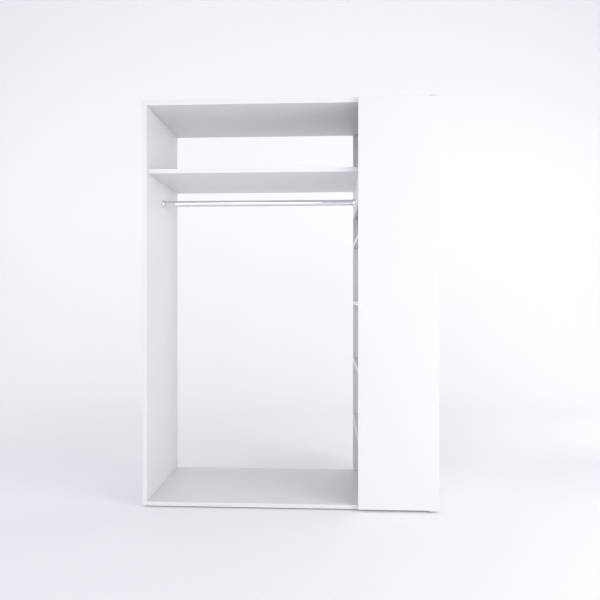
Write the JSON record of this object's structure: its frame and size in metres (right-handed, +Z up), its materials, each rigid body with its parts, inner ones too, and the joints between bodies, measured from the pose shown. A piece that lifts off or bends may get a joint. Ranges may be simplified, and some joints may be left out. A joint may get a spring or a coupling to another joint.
{
  "type": "open wardrobe with one door",
  "caption": "Free-standing white wardrobe: an open hanging bay with a chrome rail and full-width shelf, beside a shelf column behind a handle-free push-latch door.",
  "frame": {"origin": "on the floor, under the middle of the whole piece in width and depth", "axes": "+X to the viewer's right as seen from the front, +Y from the front to the rear, +Z up"},
  "size_m": [1.45, 0.62, 2.008],
  "materials": {
    "white_board": "white melamine-faced board with matching edge band, satin",
    "chrome": "bright chrome plating",
    "zinc_steel": "zinc-plated steel",
    "white_steel": "white powder coat on steel",
    "white_plastic": "moulded nylon, natural white",
    "grey_plastic": "moulded plastic, light grey"
  },
  "bodies": {
    "carcass": {"left_side_panel": "white_board", "right_side_panel": "white_board", "top_panel": "white_board", "bottom_panel": "white_board", "top_shelf": "white_board", "column_back_lower": "white_board", "column_back_upper": "white_board", "column_shelf_1": "white_board", "column_shelf_2": "white_board", "column_shelf_3": "white_board", "column_shelf_4": "white_board", "rail_support_board": "white_board", "rail_socket_left": "chrome", "rail_socket_right": "chrome", "hanging_rail": "chrome", "rail_screw_left_upper": "zinc_steel", "rail_screw_left_lower": "zinc_steel", "rail_screw_right_upper": "zinc_steel", "rail_screw_right_lower": "zinc_steel", "upper_pivot_plate": "white_steel", "upper_pivot_bush": "white_plastic", "upper_plate_screw_1": "zinc_steel", "upper_plate_screw_2": "zinc_steel", "upper_latch_sleeve": "grey_plastic", "upper_latch_spring": "zinc_steel", "lower_pivot_plate": "white_steel", "lower_pivot_bush": "white_plastic", "lower_plate_screw_1": "zinc_steel", "lower_plate_screw_2": "zinc_steel", "lower_latch_sleeve": "grey_plastic", "lower_latch_spring": "zinc_steel", "top_connector_left_front": "zinc_steel", "top_connector_left_rear": "zinc_steel", "top_connector_right_front": "zinc_steel", "top_connector_right_rear": "zinc_steel", "shelf_connector_left_front": "zinc_steel", "shelf_connector_left_rear": "zinc_steel", "shelf_connector_right_front": "zinc_steel", "shelf_connector_right_rear": "zinc_steel", "bottom_connector_left_front": "zinc_steel", "bottom_connector_left_rear": "zinc_steel", "bottom_connector_right_front": "zinc_steel", "bottom_connector_right_rear": "zinc_steel", "glide_left_front": "grey_plastic", "glide_left_rear": "grey_plastic", "glide_middle_front": "grey_plastic", "glide_middle_rear": "grey_plastic", "glide_right_front": "grey_plastic", "glide_right_rear": "grey_plastic"},
    "door": {"door_panel": "white_board", "upper_door_pivot": "zinc_steel", "lower_door_pivot": "zinc_steel", "upper_door_screw_1": "zinc_steel", "upper_door_screw_2": "zinc_steel", "lower_door_screw_1": "zinc_steel", "lower_door_screw_2": "zinc_steel", "upper_strike_plate": "zinc_steel", "lower_strike_plate": "zinc_steel"},
    "lower_plunger": {"lower_latch_plunger": "white_plastic"},
    "upper_plunger": {"upper_latch_plunger": "white_plastic"}
  },
  "joints": [
    {"name": "door_hinge", "type": "hinge", "parent": "carcass", "child": "door", "pos_m": [0.715, -0.301, 1.008], "axis": [0, 0, 1], "range_deg": [0, 95]},
    {"name": "lower_latch_push", "type": "slide", "parent": "carcass", "child": "lower_plunger", "axis": [0, 1, 0], "range_m": [0, 0.0025], "stiffness_N_per_m": 1000, "deforming": ["lower_latch_spring"]},
    {"name": "upper_latch_push", "type": "slide", "parent": "carcass", "child": "upper_plunger", "axis": [0, 1, 0], "range_m": [0, 0.0025], "stiffness_N_per_m": 1000, "deforming": ["upper_latch_spring"]}
  ]
}
